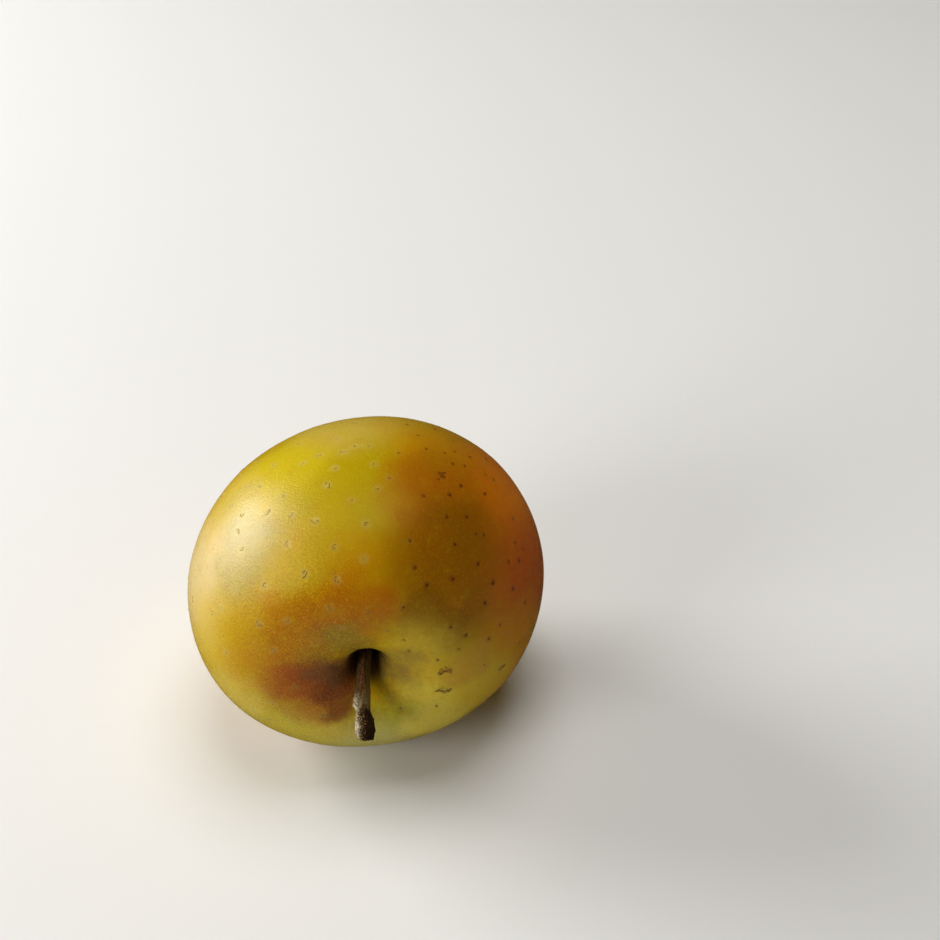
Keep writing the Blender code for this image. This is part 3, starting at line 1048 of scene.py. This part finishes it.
def make_stem(material):
    knots = smooth_curve(STEM_KNOTS, STEM_STEPS)
    rings = [stem_ring(knot, i / (len(knots) - 1), STEM_SIDES) for i, knot in enumerate(knots)]
    x, y, height, radius = knots[-1]
    for inner, rise in STEM_END_RINGS:
        rings.append(stem_ring((x, y, height + rise, radius * inner), 1.0, STEM_SIDES))
    return ringed_piece("stem_bark", rings, material)


SHAFT_DARK = srgb(54, 38, 18)
SHAFT_BROWN = srgb(112, 82, 46)
SHAFT_RED = srgb(142, 92, 60)
# Partly the bark's olive, partly a painted sheen on the shaft's right side
SHAFT_OLIVE_AND_SHEEN = srgb(120, 98, 48)
END_DARK = srgb(36, 19, 8)
# Tan specks on the stem's end, partly its own flecks, partly painted glints
END_RUST_AND_GLINT = srgb(190, 152, 92)
WAIST_GREY = srgb(160, 150, 104)
# Pale strip down the stem's left, partly bleached bark, partly a painted highlight
BLEACHED_AND_HIGHLIGHT = srgb(246, 232, 196)

# Noises on the bark, as (scale per millimetre, detail, roughness), with a distortion for the flakes
FIBRE = (3.6, 4.0, 0.65)
BARK_BLOTCH = (0.9, 3.0, 0.6)
FLAKES = (3.4, 5.0, 0.8, 1.0)
SPECKS = (3.4, 3.0, 0.7)
WOBBLE = (1.7, 4.0, 0.8)
FIBRE_STRETCH = (1.0, 1.0, 0.30)
BARK_RELIEF = 0.15

# Heights along the stem between which a finish comes in, or goes out where the first is the larger
WAIST_HEIGHT = 26.6
FOOT_SHADE = (22.0, 15.0)
RAW_FROM = (18.0, 22.0)
RAW_UP_TO = (26.6, 25.0)
SWOLLEN_FROM = (27.0, 28.4)
BLEACHED_AND_HIGHLIGHT_FROM = (24.8, 26.8)


def across_stem(x, height, wobble):
    """How far across the stem a point lies, from -1 on its left to 1 on its right."""
    middle = height.ramp(12.0, 25.0) * -1.0 + height.ramp(26.0, 30.0) * 0.34
    return (x - middle) / (1.15 + 0.45 * height.ramp(27.0, 29.5)) + 1.6 * wobble


def paint_stem(material):
    tree, shader = shading(material)
    place = growth_place(tree)
    stretched = tree.add("ShaderNodeMapping", None, {"Vector": place, "Scale": FIBRE_STRETCH})
    fibre = tree.noise(stretched, *FIBRE)
    blotch = tree.noise(place, *BARK_BLOTCH)
    flakes = tree.noise(stretched, *FLAKES)
    specks = tree.noise(place, *SPECKS)
    wobble = tree.noise(place, *WOBBLE) - 0.5
    x, _, true_height = tree.separated(place)
    across = across_stem(x, true_height, wobble)
    height = true_height + 4.0 * wobble

    # A brown shaft, raw red down its middle, olive on its right that is partly a painted sheen, and
    # painted shade darkening it towards its foot in the cavity
    colour = tree.mix(fibre.ramp(0.35, 0.65), SHAFT_DARK, SHAFT_BROWN)
    raw = (across * across).ramp(0.30, 0.0) * height.ramp(*RAW_FROM) * height.ramp(*RAW_UP_TO)
    colour = tree.mix(raw * fibre.ramp(0.36, 0.60), colour, SHAFT_RED)
    colour = tree.mix(across.ramp(0.15, 0.85) * 0.8, colour, SHAFT_OLIVE_AND_SHEEN)
    colour = tree.mix(true_height.ramp(*FOOT_SHADE) * 0.35, colour, SHAFT_DARK)

    # The swollen end: dark bark with tan specks on its left, partly the bark's own flecks and partly
    # painted glints where the light falls
    swollen = height.ramp(*SWOLLEN_FROM)
    colour = tree.mix(swollen * 0.94, colour, END_DARK)
    specks_and_glints = swollen * specks.ramp(0.54, 0.61) * across.ramp(0.45, -0.30)
    colour = tree.mix(specks_and_glints * 0.85, colour, END_RUST_AND_GLINT)

    # Bark bleached by the weather: a band over the waist, and a ragged pale strip down the left side
    # that is partly bleached bark and partly a painted highlight where the light falls
    band = ((height - WAIST_HEIGHT) * (height - WAIST_HEIGHT)).ramp(2.2, 0.3)
    flaked = band * flakes.ramp(0.44, 0.62) * across.ramp(0.9, 0.3)
    colour = tree.mix(flaked * 0.85, colour, WAIST_GREY)
    strip = (0 - across).ramp(0.42, 0.95) * true_height.ramp(*BLEACHED_AND_HIGHLIGHT_FROM)
    pale = strip * flakes.ramp(0.42, 0.54)
    colour = tree.mix(pale * 0.95, colour, BLEACHED_AND_HIGHLIGHT)

    relief = relief_from(tree, fibre + 0.6 * pale + 0.4 * specks, 0.8, BARK_RELIEF)
    feed(tree, shader, Base_Color=colour, Roughness=0.70 + 0.2 * blotch, Normal=relief)
    shader.inputs["Specular IOR Level"].default_value = 0.10


def blade_ring(outward, sideways, station, through, share):
    """One ring of a sepal: a thin lens, cupped across, with a raised midrib and a wavy margin."""
    distance, height, width, thickness = station
    ring = []
    for side in range(SEPAL_SIDES):
        turn = tau * side / SEPAL_SIDES
        across = cos(turn)
        wave = SEPAL_WAVE * noise.noise((outward.x * 9 + across, outward.y * 9, share * 6))
        cup = SEPAL_CUP * across * across * width / 2
        rib = SEPAL_RIB * max(0.0, 1 - abs(across) * 4)
        middle = outward * distance + Vector((0, 0, height))
        offset = sideways * (across * width / 2 * (1 + wave))
        depth = sin(turn) * (thickness / 2 + rib) + cup + wave * 1.5
        ring.append(middle + offset - through * depth)
    return ring


def make_sepal(name, angle, material):
    outward = Vector((cos(angle), sin(angle), 0))
    sideways = Vector((-sin(angle), cos(angle), 0))
    stations = smooth_curve(SEPAL_KNOTS, SEPAL_STEPS)
    rings = []
    for i, station in enumerate(stations):
        before = stations[max(i - 1, 0)]
        after = stations[min(i + 1, len(stations) - 1)]
        along = outward * (after[0] - before[0]) + Vector((0, 0, after[1] - before[1]))
        through = along.normalized().cross(sideways)
        rings.append(blade_ring(outward, sideways, station, through, i / (len(stations) - 1)))
    return ringed_piece(name, rings, material)


def rod_rings(knots, lobes, lobe_depth):
    """Rings of an upright rod whose section is drawn in between so many lobes."""
    rings = []
    for x, y, height, radius in smooth_curve(knots, ROD_STEPS):
        ring = []
        for side in range(ROD_SIDES):
            turn = tau * side / ROD_SIDES
            uneven = noise.noise((x * 5 + cos(turn) * 2, y * 5 + sin(turn) * 2, height * 3))
            reach = radius * (1 + lobe_depth * cos(lobes * turn))
            reach *= 1 + ROD_UNEVENNESS * uneven
            ring.append((x + cos(turn) * reach, y + sin(turn) * reach, height))
        rings.append(ring)
    return rings


def make_stamen(name, angle, height_change, material):
    knots = []
    for i, (distance, height, radius) in enumerate(STAMEN_KNOTS):
        raised = height - height_change * i / (len(STAMEN_KNOTS) - 1)
        knots.append((distance * cos(angle), distance * sin(angle), raised, radius))
    return ringed_piece(name, rod_rings(knots, ANTHER_LOBES, ANTHER_LOBE_DEPTH), material)


# Dried plant matter, as (dark brown, light brown, scale of its mottle, depth of its relief)
DRIED_SEPAL = (srgb(78, 60, 38), srgb(132, 110, 76), 2.8, 0.10)
DRIED_STAMEN = (srgb(38, 24, 14), srgb(104, 74, 44), 3.0, 0.06)


def paint_dry(material, dark, light, scale, relief_depth):
    """Dried plant matter: two browns, mottled and rough."""
    tree, shader = shading(material)
    mottle = tree.noise(growth_place(tree), scale, 4.0, 0.65)
    relief = relief_from(tree, mottle, 0.7, relief_depth)
    colour = tree.mix(mottle.ramp(0.28, 0.72), dark, light)
    feed(tree, shader, Base_Color=colour, Roughness=0.8 + 0.15 * mottle, Normal=relief)


# The studio's lengths are in metres. Its soft boxes stand round the fruit, each as (name, azimuth from
# +X, height in degrees, size, watts, the switch that is turned off). The window lights the skin without
# a gloss, and the four after it, of growing size, make only its soft-edged highlight.
LIGHT_DISTANCE = 0.9
LIGHT_COLOUR = (1.0, 0.985, 0.96)
LIGHTS = [
    ("window", 151, 22, (0.55, 0.50), 6.9, "visible_glossy"),
    ("window_core", 146, 22, (0.36, 0.36), 1.9, "visible_diffuse"),
    ("window_glint", 155, 24, (0.74, 0.74), 4.6, "visible_diffuse"),
    ("window_veil", 168, 18, (0.95, 0.84), 4.8, "visible_diffuse"),
    ("window_haze", 186, 33, (1.15, 1.10), 2.9, "visible_diffuse"),
    ("room_front", 210, 24, (0.45, 0.45), 3.4, "visible_glossy"),
    ("ceiling", 60, 80, (0.6, 0.6), 3.6, "visible_glossy"),
]
FLOOR_HALF = 3.0
FLOOR_COLOUR = (0.90, 0.90, 0.89, 1)
BACKDROP_RADIUS = 1.15
BACKDROP_GREY = (0.52, 0.51, 0.49, 1)
ROOM_COLOUR = (1.0, 0.84, 0.56, 1)
ROOM_STRENGTH = 0.04


def make_light(name, azimuth, rise, size, watts, turned_off):
    direction = Vector((cos(radians(azimuth)), sin(radians(azimuth)), 0)) * cos(radians(rise))
    direction.z = sin(radians(rise))
    data = bpy.data.lights.new(name, "AREA")
    data.shape = "ELLIPSE"
    data.size, data.size_y = size
    data.energy = watts
    data.color = LIGHT_COLOUR
    lamp = link(name, data)
    lamp.location = FRUIT_CENTRE + direction * LIGHT_DISTANCE
    lamp.rotation_euler = direction.to_track_quat("Z", "Y").to_euler()
    setattr(lamp, turned_off, False)


def make_floor():
    mesh = bpy.data.meshes.new("floor")
    corners = [(-1, -1, 0), (1, -1, 0), (1, 1, 0), (-1, 1, 0)]
    mesh.from_pydata([Vector(corner) * FLOOR_HALF for corner in corners], [], [(0, 1, 2, 3)])
    material = new_material("floor_pale")
    _, shader = shading(material)
    shader.inputs["Base Color"].default_value = FLOOR_COLOUR
    shader.inputs["Roughness"].default_value = 0.9
    shader.inputs["Specular IOR Level"].default_value = 0.1
    mesh.materials.append(material)
    floor = link("floor", mesh)
    floor.visible_glossy = False


def make_backdrop():
    """A plain wall all round, for low views: only the camera sees it, so it lights nothing."""
    shape = bmesh.new()
    bmesh.ops.create_uvsphere(shape, u_segments=96, v_segments=48, radius=BACKDROP_RADIUS)
    mesh = bpy.data.meshes.new("backdrop")
    shape.to_mesh(mesh)
    shape.free()
    mesh.shade_smooth()
    material = new_material("backdrop_grey")
    _, shader = shading(material)
    shader.inputs["Base Color"].default_value = (0, 0, 0, 1)
    shader.inputs["Specular IOR Level"].default_value = 0.0
    shader.inputs["Emission Color"].default_value = BACKDROP_GREY
    shader.inputs["Emission Strength"].default_value = 1.0
    material.cycles.emission_sampling = "NONE"
    mesh.materials.append(material)
    backdrop = link("backdrop", mesh)
    backdrop.visible_diffuse = False
    backdrop.visible_glossy = False
    backdrop.visible_transmission = False
    backdrop.visible_shadow = False


def make_room_light():
    world = bpy.data.worlds.new("studio")
    world.use_nodes = True
    background = world.node_tree.nodes["Background"]
    background.inputs["Color"].default_value = ROOM_COLOUR
    background.inputs["Strength"].default_value = ROOM_STRENGTH
    bpy.context.scene.world = world
    bpy.context.scene.view_settings.view_transform = "Standard"


camera = make_camera()
make_floor()
make_backdrop()
make_room_light()
for light in LIGHTS:
    make_light(*light)

skin_material = new_material("apple_skin")
fruit = make_fruit(skin_material)
surface = surface_of(fruit)
places = dot_places(camera, surface)
store_nearest_dots(fruit, places)
paint_skin(skin_material)
cork_material = new_material("skin_cork")
dots = make_dots(places, cork_material)
paint_dots(cork_material)
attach(fruit, "root")
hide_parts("fruit")
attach(dots, "root")

bark_material = new_material("stem_bark")
stem = make_stem(bark_material)
paint_stem(bark_material)
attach(stem, "root")
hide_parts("stem")

sepal_material = new_material("dried_sepal")
paint_dry(sepal_material, *DRIED_SEPAL)
for i in range(SEPALS):
    angle = radians(SEPAL_DIRECTION) + tau * i / SEPALS
    sepal = make_sepal(f"sepal_{i + 1}_dry", angle, sepal_material)
    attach(sepal, "root")
    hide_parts(f"sepal_{i + 1}")

stamen_material = new_material("dried_stamen")
paint_dry(stamen_material, *DRIED_STAMEN)
for i in range(STAMENS):
    angle = radians(STAMEN_DIRECTION) + tau * i / STAMENS
    height_change = STAMEN_HEIGHT_CHANGE * (-1) ** i
    stamen = make_stamen(f"stamen_{i + 1}_dry", angle, height_change, stamen_material)
    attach(stamen, "root")
    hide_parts(f"stamen_{i + 1}")
style_rings = rod_rings(STYLE_KNOTS, STYLES, STYLE_LOBE_DEPTH)
styles = ringed_piece("style_column_dry", style_rings, stamen_material)
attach(styles, "root")
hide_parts("style_column")
